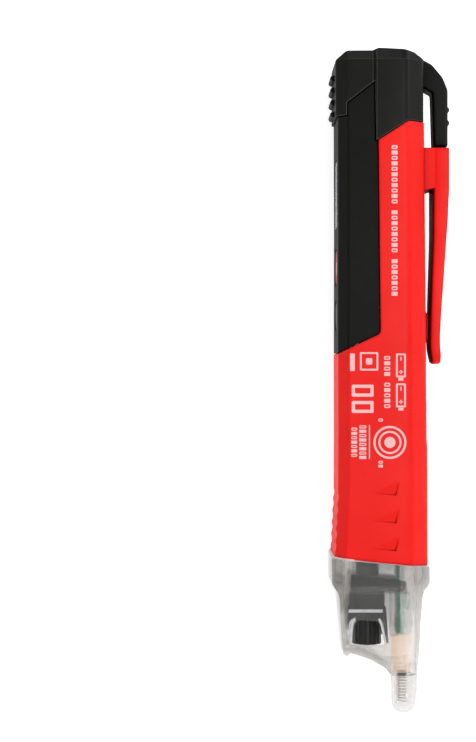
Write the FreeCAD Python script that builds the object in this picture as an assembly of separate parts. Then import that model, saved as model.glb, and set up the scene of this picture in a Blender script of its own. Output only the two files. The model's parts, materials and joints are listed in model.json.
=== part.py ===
"""Non contact voltage tester, lying on its side: a pen-shaped detector with a clear sensing nose.

The parts are drawn in the pen's own directions and moved to the row frame when they are written:
  u  across the body, from the buttons (-u) to the pocket clip (+u)
  t  along the body, from the sensing tip (t = 0) to the battery cap (t = LENGTH)
  w  sideways, 0 on the mid-plane; the pen lies on its -w side
All sizes are in millimetres.
"""
import FreeCAD, Part
import math
import os

Vector = FreeCAD.Vector

# ---- overall ---------------------------------------------------------------------------------
LENGTH = 158.0
RIB_FRONT = -12.05         # the cap's front ribs reach furthest towards the buttons
HOOK_RIB_BACK = 16.5       # the cap's hook ribs reach furthest towards the clip
COLLAR_HALF = 11.75        # the collar is the widest part sideways

# ---- shells ----------------------------------------------------------------------------------
HOUSING_HALF = 11.25
COVER_HALF = 10.85
CAP_HALF = 11.45
WALL = 1.6
COVER_WALL = 1.5
SEAM = 0.25                # gap between neighbouring shells
FRONT_CHAMFER = 2.3
BACK_CHAMFER = 4.6
CHAMFER_OFFSET = 2.0 - math.sqrt(2.0)

# front and back surface of the body at places along it: (t, front u, back u)
BODY_STATIONS = [
    (33.0, -11.5, 11.0),
    (45.0, -11.0, 10.95),
    (54.0, -10.5, 10.95),
    (64.0, -10.45, 10.9),
    (66.0, -10.45, 10.75),
    (90.0, -10.5, 10.55),
    (118.0, -10.45, 10.3),
    (161.0, -10.6, 9.9),
]

# ---- seams between the shells ----------------------------------------------------------------
NOSE_SEAM_T = 37.3         # at u = 0
NOSE_SLOPE = 0.098         # the collar leans towards the tip on the clip side
COVER_SEAM_U = -1.1
COVER_FOOT_T = 86.4
CAP_FRONT_T = 142.2
CAP_STEP_T = 150.2
CAP_SIDE_T = 136.2
CAP_BACK_T = 141.2

# ---- battery cap -----------------------------------------------------------------------------
CAP_FRONT = -11.05
CAP_BACK = 9.9
CAP_RECESS_U = -2.4
CAP_TOP_BAND = 2.7
HOOK_HALF = 3.2
HOOK_INNER = 12.7
HOOK_BACK = 16.1
HOOK_END_T = 135.75
RIB_COUNT = 4
RIB_PITCH = 2.87
RIB_FIRST_T = 143.3
RIB_RADIUS = 0.7
RIB_HALF = 4.3
SPIGOT_INSET = 1.75
SPIGOT_WALL = 0.8
SPIGOT_END_T = 127.0
CAP_SEAL_T = 131.0
CAP_SEAL_HEIGHT = 1.2
CAP_SEAL_DEPTH = 0.5

# ---- clip ------------------------------------------------------------------------------------
CLIP_ROOT_T = 125.6
CLIP_GAP = 0.2
CLIP_BACK = 16.1
CLIP_END_T = 83.8
CLIP_ROOT_HALF = 5.5
CLIP_END_HALF = 3.9
BLOCK_TOP_T = 135.2

# ---- nose ------------------------------------------------------------------------------------
COLLAR_TOP_T = 37.1        # at u = 0
COLLAR_BOTTOM_T = 32.1
COLLAR_FRONT = -11.9
COLLAR_BACK = 11.45
TIP_JOINT_T = 9.5
NOSE_FULL_HALF = 8.8       # narrower rings have smaller corners
WINDOW_TOP_T = 26.4
WINDOW_DEPTH = 0.8
ARCH_RIM = 0.8
ARCH_FOOT_T = 17.6
TIP_DOME = 2.6

# ---- torch and sensing parts -----------------------------------------------------------------
TORCH_U = -3.1
TORCH_RADIUS = 3.5
TORCH_BORE = 2.7
TORCH_END_T = 16.9
TORCH_FLUTES = 12
TORCH_NECK_RADIUS = 2.9
TORCH_NECK_END_T = 39.4
HOOD_INSIDE = 5.7          # the hood's two cheeks stand just inside the nose's flanks
HOOD_OUTSIDE = 7.6
LED_U = 4.85
LED_RADIUS = 2.05
LED_END_T = 10.5
COIL_U = 5.4
COIL_RADIUS = 1.25
COIL_END_T = 2.8

# ---- boards ----------------------------------------------------------------------------------
MAIN_FRONT = -6.6
MAIN_BACK = -5.6
MAIN_HALF = 8.0
MAIN_START_T = 40.5
MAIN_END_T = 126.5
SENSOR_FRONT = 4.0
SENSOR_BACK = 5.6
SENSOR_HALF = 3.6
SENSOR_END_T = 49.0
HEADER_T = 46.5
PIN_PITCH = 2.0

# ---- batteries -------------------------------------------------------------------------------
CELL_RADIUS = 5.15
CELL_LENGTH = 44.5
CELL_NUB = 0.8
CELL_NUB_RADIUS = 1.9
CELL_U = 1.6
CELL_START_T = 51.9
CRADLE_INNER = 5.35
CRADLE_OUTER = 6.15
CRADLE_START_T = 50.0
CRADLE_END_T = 141.0
CONTACT_THICK = 0.4
CAP_CONTACT_T = 147.0

# ---- buttons and display ---------------------------------------------------------------------
BUTTON_GAP = 0.25
POWER_T = 107.0
POWER_RADIUS = 4.4
TORCH_BUTTON_T = 95.4
TORCH_BUTTON_RADIUS = 3.6
BUTTON_FACE = -10.35
BUTTON_FLANGE_FRONT = -8.85
BUTTON_FLANGE_BACK = -8.4
TACT_FRONT = -7.6
TACT_HALF = 3.0
PLUNGER_RADIUS = 1.0
DISPLAY_T = 124.5
DISPLAY_HALF_T = 8.0
DISPLAY_HALF_W = 4.6
WINDOW_FRONT = -10.4
WINDOW_BACK = -9.6
SCREW_PLACES = [60.0, 114.6]


# ---- drawing helpers -------------------------------------------------------------------------

def rounded_wire(corners, place):
    """A closed wire through corners (a, b, radius); place turns (a, b) into a point in space."""
    stretches = []
    count = len(corners)
    for index in range(count):
        a, b, radius = corners[index]
        here = Vector(a, b, 0)
        before = Vector(corners[index - 1][0], corners[index - 1][1], 0)
        after = Vector(corners[(index + 1) % count][0], corners[(index + 1) % count][1], 0)
        if radius == 0:
            stretches.append((here, None, here))
            continue
        back = (before - here).normalize()
        ahead = (after - here).normalize()
        half_angle = back.getAngle(ahead) / 2.0
        reach = radius / math.tan(half_angle)
        bisector = (back + ahead).normalize()
        middle = here + bisector * (radius / math.sin(half_angle) - radius)
        stretches.append((here + back * reach, middle, here + ahead * reach))
    edges = []
    for index in range(count):
        entry, middle, leave = stretches[index]
        following = stretches[(index + 1) % count][0]
        if middle is not None:
            arc = Part.Arc(place(entry.x, entry.y), place(middle.x, middle.y), place(leave.x, leave.y))
            edges.append(arc.toShape())
        if (following - leave).Length > 1e-6:
            edges.append(Part.makeLine(place(leave.x, leave.y), place(following.x, following.y)))
    return Part.Wire(edges)


def side_slab(corners, low, high):
    """A plate with its outline in (u, t), from w = low to w = high."""
    wire = rounded_wire(corners, lambda a, b: Vector(a, b, low))
    return Part.Face(wire).extrude(Vector(0, 0, high - low))


def front_slab(corners, low, high):
    """A plate with its outline in (w, t), from u = low to u = high."""
    wire = rounded_wire(corners, lambda a, b: Vector(low, b, a))
    return Part.Face(wire).extrude(Vector(high - low, 0, 0))


def box(u0, u1, t0, t1, w0, w1):
    return Part.makeBox(u1 - u0, t1 - t0, w1 - w0, Vector(u0, t0, w0))


def rod_t(radius, u, t0, t1, w=0.0):
    return Part.makeCylinder(radius, t1 - t0, Vector(u, t0, w), Vector(0, 1, 0))


def rod_u(radius, t, u0, u1, w=0.0):
    return Part.makeCylinder(radius, u1 - u0, Vector(u0, t, w), Vector(1, 0, 0))


def rod_w(radius, u, t, half):
    return Part.makeCylinder(radius, 2 * half, Vector(u, t, -half), Vector(0, 0, 1))


def plain(points):
    """Corners with no rounding."""
    return [(a, b, 0) for a, b in points]


def fused(shapes):
    whole = shapes[0]
    for shape in shapes[1:]:
        whole = whole.fuse(shape)
    return whole.removeSplitter()


def cut_all(shape, tools):
    for tool in tools:
        shape = shape.cut(tool)
    return shape


# ---- the body's section ----------------------------------------------------------------------

def body_corners(front, back, half, inset, scale=1.0):
    """Eight rounded corners in (u, w): narrow chamfers in front, wide soft ones at the back."""
    front_leg = scale * FRONT_CHAMFER - CHAMFER_OFFSET * inset
    back_leg = scale * BACK_CHAMFER - CHAMFER_OFFSET * inset
    f = front + inset
    b = back - inset
    h = half - inset
    sharp = scale * (0.8 if inset == 0 else 0.3)
    soft = scale * (2.6 if inset == 0 else 1.4)
    return [
        (f, -h + front_leg, sharp),
        (f, h - front_leg, sharp),
        (f + front_leg, h, sharp),
        (b - back_leg, h, soft),
        (b, h - back_leg, soft),
        (b, -h + back_leg, soft),
        (b - back_leg, -h, soft),
        (f + front_leg, -h, sharp),
    ]


def body_at(t):
    """The front and back surface of the body at t."""
    for (t0, f0, b0), (t1, f1, b1) in zip(BODY_STATIONS, BODY_STATIONS[1:]):
        if t0 <= t <= t1:
            part = (t - t0) / (t1 - t0)
            return f0 + part * (f1 - f0), b0 + part * (b1 - b0)
    raise ValueError(t)


def body_loft(half, inset, t0, t1):
    places = [t0] + [t for t, _, _ in BODY_STATIONS if t0 < t < t1] + [t1]
    wires = []
    for t in places:
        front, back = body_at(t)
        corners = body_corners(front, back, half, inset)
        wires.append(rounded_wire(corners, lambda u, w, t=t: Vector(u, t, w)))
    return Part.makeLoft(wires, True, True)


# ---- seam regions, each a plate through the whole width --------------------------------------

def cap_region(shift_u=0.0, shift_t=0.0):
    """Everything that belongs to the cap: above the stepped and slanted seam."""
    points = [
        (-20, CAP_FRONT_T),
        (-8.5, CAP_FRONT_T),
        (-8.5, 145.1),
        (-1.9, CAP_STEP_T),
        (-1.65, CAP_SIDE_T),
        (6.0, 141.1),
        (10.9, CAP_BACK_T),
        (10.9, 170),
        (-20, 170),
    ]
    moved = [(u + shift_u, t + shift_t) for u, t in points]
    return side_slab(plain(moved), -20, 20)


def cover_region(grow=0.0):
    """Everything that belongs to the front cover, up to well past the cap's seam."""
    corners = [
        (-20, COVER_FOOT_T - grow, 0),
        (-10.6, COVER_FOOT_T - grow, 0),
        (-5.6, 88.9 - grow, 2.0),
        (COVER_SEAM_U + 0.25 + grow, 91.2 - grow, 1.4),
        (COVER_SEAM_U - 0.25 + grow, CAP_SIDE_T + 0.5, 0),
        (COVER_SEAM_U - 0.25 + grow, 170, 0),
        (-20, 170, 0),
    ]
    return side_slab(corners, -20, 20)


def slanted_slab(low_t, high_t):
    """Between two planes that lean as the collar does; the heights are those at u = 0."""
    reach = 30.0
    lean = NOSE_SLOPE * reach
    points = [(-reach, low_t + lean), (reach, low_t - lean), (reach, high_t - lean), (-reach, high_t + lean)]
    return side_slab(plain(points), -20, 20)


# ---- red rear housing ------------------------------------------------------------------------

def grip_pocket(corner_t):
    """A sunken wedge, deepest at its corner and fading out along both of its edges."""
    top = HOUSING_HALF
    deep = Vector(2.95, corner_t, top - 0.35)
    right = Vector(3.75, corner_t + 3.6, top + 0.02)
    left = Vector(-2.9, corner_t + 0.65, top + 0.02)
    face = Part.Face(Part.makePolygon([deep, right, left, deep]))
    return face.extrude(Vector(0, 0, 2))


def mirrored(shape):
    return shape.mirror(Vector(0, 0, 0), Vector(0, 0, 1))


def clip_block():
    outline = [
        (9.4, CLIP_ROOT_T - 0.8, 0.5),
        (12.4, CLIP_ROOT_T, 0.5),
        (CLIP_BACK, CLIP_ROOT_T, 0),
        (CLIP_BACK, BLOCK_TOP_T, 0.5),
        (9.4, BLOCK_TOP_T, 0),
    ]
    return side_slab(outline, -CLIP_ROOT_HALF, CLIP_ROOT_HALF)


def catch_bump():
    outline = [(9.4, 87.8, 0), (10.5, 88.1, 0.4), (11.25, 90.0, 0.8)]
    outline += [(11.35, 95.0, 0.8), (10.5, 97.1, 0.4), (9.4, 97.4, 0)]
    return side_slab(outline, -3.4, 3.4)


def front_ripples():
    """Five shallow finger grooves across the front below the cover."""
    grooves = []
    for index in range(5):
        t = 41.0 + 2.9 * index
        front = body_at(t)[0]
        grooves.append(rod_w(2.6, front - 2.35, t, 20))
    return grooves


def back_pad():
    outline = [(-3.6, 71.1, 1.2), (3.6, 71.1, 1.2), (3.6, 75.9, 1.2), (-3.6, 75.9, 1.2)]
    return front_slab(outline, 9.4, 10.95)


def rear_housing():
    shell = body_loft(HOUSING_HALF, 0, 33.5, 144.0)
    shell = shell.cut(body_loft(HOUSING_HALF, WALL, 33.2, 145.0))
    shell = shell.common(slanted_slab(NOSE_SEAM_T, 200.0))
    shell = cut_all(shell, [cover_region(SEAM), cap_region(0, -SEAM)])
    hollow = body_loft(HOUSING_HALF, WALL, 33.2, 145.0)
    outside = fused([clip_block(), catch_bump(), back_pad()]).cut(hollow)
    shell = fused([shell, outside])
    pockets = [grip_pocket(t) for t in (53.1, 46.6, 40.1)]
    pockets += [mirrored(pocket) for pocket in pockets]
    return cut_all(shell, front_ripples() + pockets)


# ---- black front cover -----------------------------------------------------------------------

def display_outline(grow):
    half_w = DISPLAY_HALF_W + grow
    half_t = DISPLAY_HALF_T + grow
    low = DISPLAY_T - half_t
    high = DISPLAY_T + half_t
    return [(-half_w, low, 1.5), (half_w, low, 1.5), (half_w, high, 1.5), (-half_w, high, 1.5)]


def front_cover():
    shell = body_loft(COVER_HALF, 0, 84.0, 152.0)
    shell = shell.cut(body_loft(COVER_HALF, COVER_WALL, 83.0, 153.0))
    shell = shell.common(cover_region())
    shell = cut_all(shell, [cap_region(-SEAM, -SEAM), cap_region(SEAM, -SEAM)])
    holes = [
        rod_u(POWER_RADIUS + BUTTON_GAP, POWER_T, -14, -7),
        rod_u(TORCH_BUTTON_RADIUS + BUTTON_GAP, TORCH_BUTTON_T, -14, -7),
        front_slab(display_outline(0.06), -14, WINDOW_BACK + 0.05),
        front_slab(display_outline(-0.7), WINDOW_BACK - 0.05, -7),
    ]
    return cut_all(shell, holes)


def display_window():
    return front_slab(display_outline(0), WINDOW_FRONT, WINDOW_BACK)


def display_module():
    outline = [(-3.6, DISPLAY_T - 7.0, 0.3), (3.6, DISPLAY_T - 7.0, 0.3)]
    outline += [(3.6, DISPLAY_T + 1.9, 0.3), (-3.6, DISPLAY_T + 1.9, 0.3)]
    return front_slab(outline, -8.8, MAIN_FRONT)


# ---- buttons and their switches --------------------------------------------------------------

def button(t, radius):
    cap = rod_u(radius, t, BUTTON_FACE, BUTTON_FLANGE_BACK)
    rim = [edge for edge in cap.Edges if abs(edge.CenterOfMass.x - BUTTON_FACE) < 0.01]
    cap = cap.makeFillet(0.5, rim)
    dish = Part.makeSphere(3.2 * radius, Vector(BUTTON_FACE - 3.2 * radius + 0.3, t, 0))
    flange = rod_u(radius + 0.8, t, BUTTON_FLANGE_FRONT, BUTTON_FLANGE_BACK)
    stem = rod_u(1.6, t, BUTTON_FLANGE_BACK, -8.1)
    return fused([cap.cut(dish), flange, stem])


def tact_switches():
    bodies = []
    for t in (POWER_T, TORCH_BUTTON_T):
        body = box(TACT_FRONT, MAIN_FRONT, t - TACT_HALF, t + TACT_HALF, -TACT_HALF, TACT_HALF)
        upright = [edge for edge in body.Edges if abs(edge.Vertexes[0].X - edge.Vertexes[1].X) > 0.5]
        body = body.makeFillet(0.5, upright)
        bodies.append(body.cut(rod_u(PLUNGER_RADIUS + 0.06, t, -9, MAIN_FRONT - 0.15)))
    return Part.makeCompound(bodies)


def plunger(t):
    return rod_u(PLUNGER_RADIUS, t, -8.1, -7.2)


# ---- battery cap -----------------------------------------------------------------------------

def cap_corners(shrink, back):
    """Twelve corners in (u, w): the front part of the cap's side is lower than its flank."""
    f = CAP_FRONT
    low = COVER_HALF - shrink
    high = CAP_HALF - shrink
    upper = [
        (f, low - FRONT_CHAMFER, 0.6),
        (f + FRONT_CHAMFER + 0.3, low, 0.6),
        (CAP_RECESS_U, low, 0),
        (CAP_RECESS_U + 0.9, high, 0),
        (back - BACK_CHAMFER, high, 2.4),
        (back, high - BACK_CHAMFER, 2.4),
    ]
    lower = [(u, -w, r) for u, w, r in reversed(upper)]
    return upper + lower


def cap_block():
    """The cap's body before its outline is cut, a little narrower towards its top."""
    wires = []
    for t, shrink in ((134.0, 0.0), (LENGTH - CAP_TOP_BAND, 0.0), (LENGTH + 0.2, 1.2)):
        corners = cap_corners(shrink, CAP_BACK)
        wires.append(rounded_wire(corners, lambda u, w, t=t: Vector(u, t, w)))
    return Part.makeLoft(wires, True, True)


def cap_outline():
    return [
        (-20, 130, 0),
        (10.0, 130, 0),
        (10.0, 155.9, 0),
        (7.4, 157.3, 1.5),
        (4.8, 157.7, 1.0),
        (-1.0, LENGTH, 0.3),
        (-2.4, 157.45, 0.3),
        (-8.6, 157.4, 2.0),
        (-11.05, 155.4, 1.2),
        (-11.3, 154.4, 0),
        (-20, 154.4, 0),
    ]


def hook():
    """The tail that runs over the lanyard slot towards the clip."""
    outline = [
        (8.2, 149.0, 0),
        (10.2, 149.8, 0.4),
        (12.3, 148.6, 0.6),
        (HOOK_INNER, HOOK_END_T, 0.3),
        (HOOK_BACK, HOOK_END_T, 0.4),
        (HOOK_BACK, 149.3, 2.0),
        (14.9, 152.3, 3.0),
        (12.3, 155.4, 3.0),
        (8.2, 157.6, 0),
    ]
    body = side_slab(outline, -HOOK_HALF, HOOK_HALF)
    long_edges = [edge for edge in body.Edges if hook_edge(edge)]
    body = body.makeFillet(0.7, long_edges)
    ribs = []
    for t in (144.6, 141.45):
        rib = rod_w(0.95, HOOK_RIB_BACK - 0.95, t, HOOK_HALF - 0.8)
        ribs.append(rib)
    return fused([body] + ribs)


def hook_edge(edge):
    """The long straight edges of the tail's outer and inner faces."""
    straight = edge.BoundBox.ZLength < 0.01 and edge.BoundBox.XLength < 0.3
    return straight and edge.BoundBox.YLength > 5.0 and edge.CenterOfMass.x > 12.0


def front_ribs():
    ribs = []
    for index in range(RIB_COUNT):
        t = RIB_FIRST_T + RIB_PITCH * index
        rib = rod_w(RIB_RADIUS, RIB_FRONT + RIB_RADIUS, t, RIB_HALF)
        ends = [edge for edge in rib.Edges if edge.BoundBox.ZLength < 0.01]
        ribs.append(rib.makeFillet(0.4, ends))
    return ribs


def spigot(inset, t0, t1):
    return body_loft(COVER_HALF, inset, t0, t1)


def cap_seal_ring(inner):
    low = CAP_SEAL_T
    high = CAP_SEAL_T + CAP_SEAL_HEIGHT
    ring = spigot(SPIGOT_INSET + 0.05, low, high)
    return ring.cut(spigot(SPIGOT_INSET + inner, low - 1, high + 1))


def battery_cap():
    body = cap_block().common(side_slab(cap_outline(), -20, 20)).common(cap_region())
    sleeve = spigot(SPIGOT_INSET, SPIGOT_END_T, 150.0)
    hollow = spigot(SPIGOT_INSET + SPIGOT_WALL, 120.0, CAP_CONTACT_T + CONTACT_THICK)
    upper_hollow = rod_t(4.3, CELL_U, 146.0, 155.0)
    whole = fused([body, sleeve, hook().cut(hollow)] + front_ribs())
    groove = cap_seal_groove()
    return cut_all(whole, [hollow, upper_hollow, groove])


def cap_seal_groove():
    low = CAP_SEAL_T - 0.05
    high = CAP_SEAL_T + CAP_SEAL_HEIGHT + 0.05
    ring = spigot(0.5, low, high)
    return ring.cut(spigot(SPIGOT_INSET + CAP_SEAL_DEPTH, low - 1, high + 1))


def cap_contact():
    plate = rod_t(5.4, CELL_U, CAP_CONTACT_T, CAP_CONTACT_T + CONTACT_THICK)
    leg = box(-1.5, 1.2, 136.0, CAP_CONTACT_T + CONTACT_THICK, 7.25, 7.55)
    bridge = box(-1.5, 1.2, CAP_CONTACT_T, CAP_CONTACT_T + CONTACT_THICK, 3.0, 7.55)
    return fused([plate, leg, bridge])


def cap_spring():
    """A tapering coil as stacked rings on one upright."""
    rings = []
    for index in range(5):
        t = 141.35 + 1.3 * index
        radius = 2.4 + 0.35 * index
        rings.append(Part.makeTorus(radius, 0.35, Vector(CELL_U, t, 0), Vector(0, 1, 0)))
    upright = Part.makeCone(0.3, 0.3001, 5.2, Vector(CELL_U, 141.35, 2.4), Vector(0, 5.2, 1.4))
    foot = rod_t(3.9, CELL_U, 146.6, CAP_CONTACT_T)
    return fused(rings + [upright, foot.cut(rod_t(3.4, CELL_U, 146.0, 148.0))])


# ---- clip arm --------------------------------------------------------------------------------

def clip_arm():
    """Tapers towards its end, then kicks outwards so that it rides over a pocket's edge."""
    top = CLIP_ROOT_T - CLIP_GAP
    outline = [
        (12.4, top, 0.3),
        (CLIP_BACK, top, 0),
        (15.95, 119.5, 10.0),
        (14.35, 95.0, 12.0),
        (14.1, 88.8, 3.0),
        (14.55, 85.4, 0.8),
        (14.3, CLIP_END_T, 0.5),
        (12.3, CLIP_END_T, 0.8),
        (11.6, 87.4, 1.5),
        (11.85, 98.0, 20.0),
        (12.4, 114.0, 8.0),
    ]
    side = side_slab(outline, -10, 10)
    plan = [
        (-CLIP_ROOT_HALF, top + 1, 0),
        (-CLIP_END_HALF, CLIP_END_T, 2.2),
        (CLIP_END_HALF, CLIP_END_T, 2.2),
        (CLIP_ROOT_HALF, top + 1, 0),
    ]
    return side.common(front_slab(plan, 5, 20))


# ---- clear nose ------------------------------------------------------------------------------

def nose_ring(t, front, back, half, slope):
    """A ring of the nose, leaning as the collar does where slope is given."""
    corners = body_corners(front, back, half, 0, min(1.0, half / NOSE_FULL_HALF))
    return rounded_wire(corners, lambda u, w: Vector(u, t - slope * u, w))


def nose_outside():
    """Collar, the cove below it, the tapering bucket, and the toe that closes on the tip."""
    full = COLLAR_HALF + 0.1
    rings = [
        nose_ring(COLLAR_TOP_T, COLLAR_FRONT, COLLAR_BACK, full, NOSE_SLOPE),
        nose_ring(COLLAR_BOTTOM_T, COLLAR_FRONT, COLLAR_BACK, full, 0.0),
        nose_ring(31.0, -11.3, 10.95, 11.3, 0.0),
        nose_ring(30.0, -10.5, 10.3, 10.7, 0.0),
        nose_ring(28.8, -10.05, 10.0, 10.35, 0.0),
        nose_ring(23.0, -9.75, 9.55, 9.85, 0.0),
        nose_ring(17.0, -9.3, 9.35, 9.15, 0.0),
        nose_ring(14.5, -9.0, 9.2, 8.8, 0.0),
        nose_ring(13.0, -8.95, 9.12, 7.4, 0.0),
        nose_ring(11.3, -8.9, 9.05, 5.3, 0.0),
        nose_ring(10.4, -8.85, 8.97, 4.1, 0.0),
        nose_ring(TIP_JOINT_T, -8.8, 8.9, 3.5, 0.0),
    ]
    seen_from_side = side_slab(nose_underside(), -COLLAR_HALF, COLLAR_HALF)
    return Part.makeLoft(rings, True, True).common(seen_from_side)


def nose_underside():
    """The nose seen from the side: front leg, small notch, and the sweep down to the tip."""
    return [
        (-20, 60, 0),
        (-20, 15.2, 0),
        (-9.0, 15.2, 0),
        (-8.2, 14.7, 0.4),
        (-7.5, 15.8, 0.3),
        (-5.6, 15.3, 0.5),
        (-2.6, 14.1, 4.0),
        (0.9, 11.8, 3.0),
        (2.4, TIP_JOINT_T, 0),
        (20, TIP_JOINT_T, 0),
        (20, 60, 0),
    ]


def nose_cavity(gap):
    """The room inside the nose, less a gap all round."""
    sections = [
        (42.0, -8.4, 7.9, 8.4, NOSE_SLOPE),
        (28.0, -8.4, 8.2, 8.4, NOSE_SLOPE),
        (20.0, -8.3, 8.3, 8.05, 0.0),
        (15.0, -7.9, 8.1, 7.3, 0.0),
        (12.6, -7.8, 7.9, 5.4, 0.0),
    ]
    rings = []
    for t, front, back, half, slope in sections:
        rings.append(nose_ring(t, front + gap, back - gap, half - gap, slope))
    floor = [
        (-20, 60, 0),
        (-20, 16.7, 0),
        (-5.5, 16.6, 1.0),
        (-1.5, 15.4, 3.0),
        (2.6, 12.6, 0),
        (20, 12.6, 0),
        (20, 60, 0),
    ]
    return Part.makeLoft(rings, True, True).common(side_slab(floor, -20, 20))


def nose_hollow():
    cavity = nose_cavity(0.0)
    led_well = rod_t(LED_RADIUS + 0.2, LED_U, LED_END_T - 0.25, 20.0)
    coil_bore = rod_t(COIL_RADIUS + 0.15, COIL_U, TIP_JOINT_T - 1.0, LED_END_T)
    return fused([cavity, led_well, coil_bore])


def flank(t, depth):
    """Half width of the nose's flank at t, where the torch window is, less a depth."""
    return 8.88 + 0.1187 * (t - 15.0) - depth


def window_cut():
    """A panel sunk into one flank, open at its foot and sloping in at its top edge."""
    above = 3.0
    slope = 1.0 / WINDOW_DEPTH
    top = WINDOW_TOP_T
    panel = []
    for depth in (WINDOW_DEPTH, -above):
        rise = top - slope * depth
        corners = [(-8.2, rise, 0.3), (0.05, rise, 0.3), (2.2, 11.5, 0), (-8.1, 11.5, 0)]
        panel.append(rounded_wire(corners, lambda u, t, depth=depth: Vector(u, t, flank(t, depth))))
    cut = Part.makeLoft(panel, True, True)
    if cut.Volume < 0:
        cut.reverse()
    return cut


def arch_corners(grow):
    """The arch over the end of the torch; grown, it is the rim that runs down to the floor."""
    return [
        (-7.2 - grow, ARCH_FOOT_T - 4.0 * grow, 0.4),
        (-6.9 - grow, 23.7 + grow, 1.9 + grow),
        (-0.8 + grow, 23.7 + grow, 1.9 + grow),
        (0.7 + grow, ARCH_FOOT_T - 4.0 * grow, 0.4),
    ]


def nose_lens():
    outside = nose_outside()
    hollow = nose_hollow()
    window = window_cut()
    panel = cut_all(outside, [window, mirrored(window)])
    rim = side_slab(arch_corners(ARCH_RIM), 5.0, 11.0).common(outside)
    shell = fused([panel, rim, mirrored(rim)]).cut(hollow)
    shell = shell.cut(side_slab(arch_corners(0.0), -20, 20))
    spigot_ring = body_loft(HOUSING_HALF, WALL + 0.15, 33.6, 39.6)
    spigot_ring = spigot_ring.common(slanted_slab(COLLAR_TOP_T - 0.6, 60.0)).cut(hollow)
    return fused([shell, spigot_ring])


def nose_seal():
    ring = body_loft(HOUSING_HALF, 0.3, 33.6, 39.6).cut(body_loft(HOUSING_HALF, WALL, 33.3, 40.5))
    return ring.common(slanted_slab(COLLAR_TOP_T, NOSE_SEAM_T))


def tip_ring(t, middle, depth):
    """A rounded section of the tip; depth is half its size from front to back."""
    half = depth + 0.1
    radius = 0.75 * depth
    corners = [
        (middle - depth, -half, radius),
        (middle - depth, half, radius),
        (middle + depth, half, radius),
        (middle + depth, -half, radius),
    ]
    return rounded_wire(corners, lambda u, w: Vector(u, t, w))


def sensor_tip():
    """The solid finger that touches a socket: a slight taper, a dome, and a bore for the coil."""
    rings = [tip_ring(TIP_JOINT_T, 5.95, 3.35), tip_ring(5.5, 5.9, 3.15)]
    for degrees in (0, 15, 30, 45, 60, 72, 83):
        angle = math.radians(degrees)
        rings.append(tip_ring(TIP_DOME * (1 - math.sin(angle)), 5.75, 2.95 * math.cos(angle)))
    finger = Part.makeLoft(rings, True, True)
    if finger.Volume < 0:
        finger.reverse()
    return finger.cut(rod_t(COIL_RADIUS + 0.15, COIL_U, COIL_END_T - 0.2, 12.0))


# ---- torch -----------------------------------------------------------------------------------

def torch_hood():
    """Two cheeks behind the window panels that frame the arch and hang from the flange."""
    outline = [
        (-7.7, 30.4, 0.3),
        (-7.7, 27.0, 0),
        (-8.2, 26.6, 0),
        (-8.2, 21.2, 0),
        (-4.0, 18.0, 0),
        (1.5, 18.0, 0.2),
        (0.9, 26.6, 0),
        (0.5, 27.0, 0),
        (0.5, 30.4, 0.3),
    ]
    cheek = side_slab(outline, HOOD_INSIDE, HOOD_OUTSIDE)
    cheek = cheek.cut(side_slab(arch_corners(ARCH_RIM + 0.08), 5.0, 11.0)).common(nose_cavity(0.1))
    largest = max(cheek.Solids, key=lambda solid: solid.Volume)
    return [largest, mirrored(largest)]


def torch_holder():
    barrel = rod_t(TORCH_RADIUS, TORCH_U, TORCH_END_T, 33.0)
    neck = rod_t(TORCH_NECK_RADIUS, TORCH_U, 33.0, TORCH_NECK_END_T)
    sleeve = rod_t(4.4, TORCH_U, 26.9, 33.0)
    outline = [(-7.6, 29.9, 0.5), (5.9, 29.9, 0.5), (5.9, 32.4, 0.3), (-7.6, 34.0, 0.3)]
    flange = side_slab(outline, -6.1, 6.1)
    flutes = []
    for index in range(TORCH_FLUTES):
        angle = 2 * math.pi * (index + 0.5) / TORCH_FLUTES
        u = TORCH_U + (TORCH_RADIUS + 0.35) * math.cos(angle)
        w = (TORCH_RADIUS + 0.35) * math.sin(angle)
        flutes.append(rod_t(0.6, u, TORCH_END_T - 1, 26.0, w))
    slot = box(SENSOR_FRONT - 0.1, SENSOR_BACK + 0.1, 28.0, 34.0, -SENSOR_HALF - 0.1, SENSOR_HALF + 0.1)
    whole = cut_all(fused([barrel, sleeve, flange, neck] + torch_hood()), flutes)
    return cut_all(whole, [slot, rod_t(TORCH_BORE, TORCH_U, 10.0, 40.0)])


def torch_led():
    stem = rod_t(2.4, TORCH_U, 21.0, 27.0)
    dome = Part.makeSphere(2.4, Vector(TORCH_U, 21.0, 0))
    base = rod_t(2.65, TORCH_U, 27.0, 28.0)
    return fused([stem, dome, base])


def torch_leads():
    leads = []
    for w in (-1.27, 1.27):
        along = rod_t(0.25, TORCH_U, 28.0, 44.0, w)
        across = rod_u(0.25, 44.0, MAIN_BACK, TORCH_U, w)
        elbow = Part.makeSphere(0.25, Vector(TORCH_U, 44.0, w))
        leads.append(fused([along, across, elbow]))
    return Part.makeCompound(leads)


def torch_reflector():
    cup = rod_t(2.65, TORCH_U, 18.1, 20.4)
    bowl = Part.makeCone(2.45, 1.6, 2.4, Vector(TORCH_U, 18.05, 0), Vector(0, 1, 0))
    dome = Part.makeSphere(2.45, Vector(TORCH_U, 21.0, 0))
    return cut_all(cup, [bowl, dome])


def torch_lens():
    disc = rod_t(2.65, TORCH_U, TORCH_END_T + 0.1, 18.0)
    rim = [edge for edge in disc.Edges if abs(edge.CenterOfMass.y - TORCH_END_T - 0.1) < 0.01]
    return disc.makeFillet(0.3, rim)


# ---- sensing parts ---------------------------------------------------------------------------

def alarm_led():
    body = rod_t(LED_RADIUS, LED_U, LED_END_T, 19.5)
    rim = [edge for edge in body.Edges if abs(edge.CenterOfMass.y - LED_END_T) < 0.01]
    return body.makeFillet(1.0, rim)


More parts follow.
